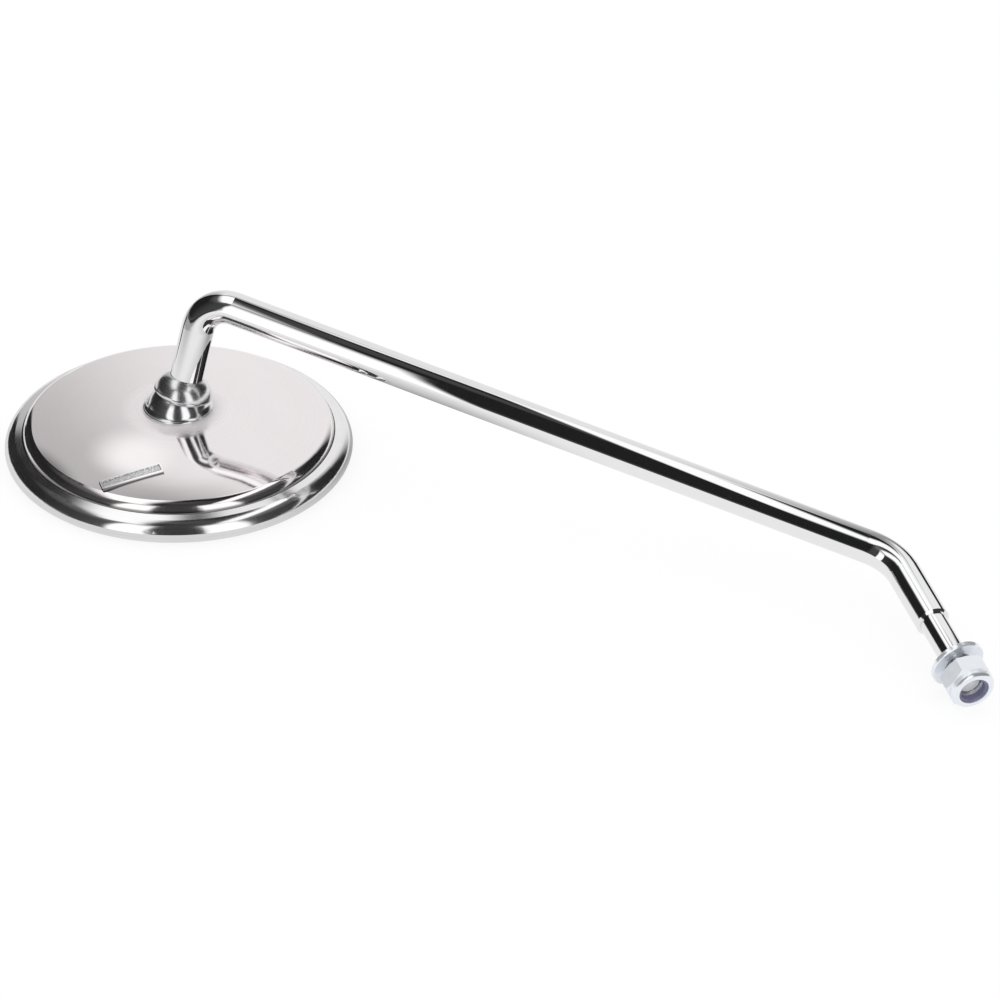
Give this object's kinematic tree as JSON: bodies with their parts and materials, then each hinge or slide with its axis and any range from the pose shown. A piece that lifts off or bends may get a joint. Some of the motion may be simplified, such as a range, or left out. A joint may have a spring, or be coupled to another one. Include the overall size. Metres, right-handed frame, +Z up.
{
  "type": "motorcycle mirror",
  "caption": "Round rear-view mirror with a satin steel back and polished rim, swivelling on a ball joint at the end of a bent polished rod with a threaded mounting spigot.",
  "frame": {"origin": "Centre of the seat where the bar steps down to the mounting spigot.", "axes": "+Z is up with the mirror lying face down; +X runs level along the long straight run of the rod, away from the head."},
  "size_m": [0.3192, 0.1054, 0.055],
  "materials": {
    "polished_bar": "mirror-polished plated steel bar",
    "turned_steel": "turned and lightly polished stainless steel with fine rings",
    "bright_steel": "plain bright steel, hidden inside the head",
    "spring_steel": "oiled spring steel",
    "white_nylon": "moulded nylon",
    "satin_stainless": "satin stainless back with a polished wall",
    "polished_rim": "mirror-polished rolled ring",
    "silvered_glass": "convex glass silvered on its back",
    "black_rubber": "soft black rubber",
    "plate_metal": "stamped blank plate with a bright border",
    "zinc_plate": "bluish zinc-plated steel",
    "tinted_nylon": "violet-blue nylon ring"
  },
  "bodies": {
    "stem": {"stem": "polished_bar", "thrust_washer": "bright_steel", "disc_spring_1": "spring_steel", "disc_spring_2": "spring_steel", "disc_spring_3": "spring_steel", "disc_spring_4": "spring_steel", "spring_retainer": "bright_steel", "swivel_nut": "bright_steel"},
    "cap": {"dome_cap": "turned_steel"},
    "liner": {"friction_liner": "white_nylon"},
    "head": {"swivel_boss": "turned_steel", "back_shell": "satin_stainless", "rim_ring": "polished_rim", "mirror_glass": "silvered_glass", "glass_gasket": "black_rubber", "name_plate": "plate_metal"},
    "washer": {"spigot_washer": "zinc_plate"},
    "nut": {"lock_nut": "zinc_plate", "nylon_insert": "tinted_nylon"}
  },
  "joints": [
    {"name": "rod_spin", "type": "hinge", "parent": "stem", "child": "cap", "pos_m": [-0.24318, 0.01407, 0.00301], "axis": [0.1602, 0.1908, 0.9685], "continuous": true},
    {"name": "head_tilt", "type": "hinge", "parent": "cap", "child": "liner", "pos_m": [-0.24318, 0.01407, 0.00301], "axis": [-0.7658, 0.643, 0], "range_deg": [-1, 29.5]},
    {"name": "head_spin", "type": "hinge", "parent": "liner", "child": "head", "pos_m": [-0.24318, 0.01407, 0.00301], "axis": [0, 0, 1], "continuous": true},
    {"name": "nut_travel", "type": "slide", "parent": "stem", "child": "washer", "axis": [0.6517, -0.7413, -0.1604], "range_m": [-0.0052, 0.0302]},
    {"name": "nut_turn", "type": "hinge", "parent": "washer", "child": "nut", "pos_m": [0, 0, 0], "axis": [0.6517, -0.7413, -0.1604], "range_deg": [-1440, 8640]}
  ],
  "couplings": [
    {"joint": "nut_travel", "follows": "nut_turn", "m_per_rad": 0.00019894}
  ]
}
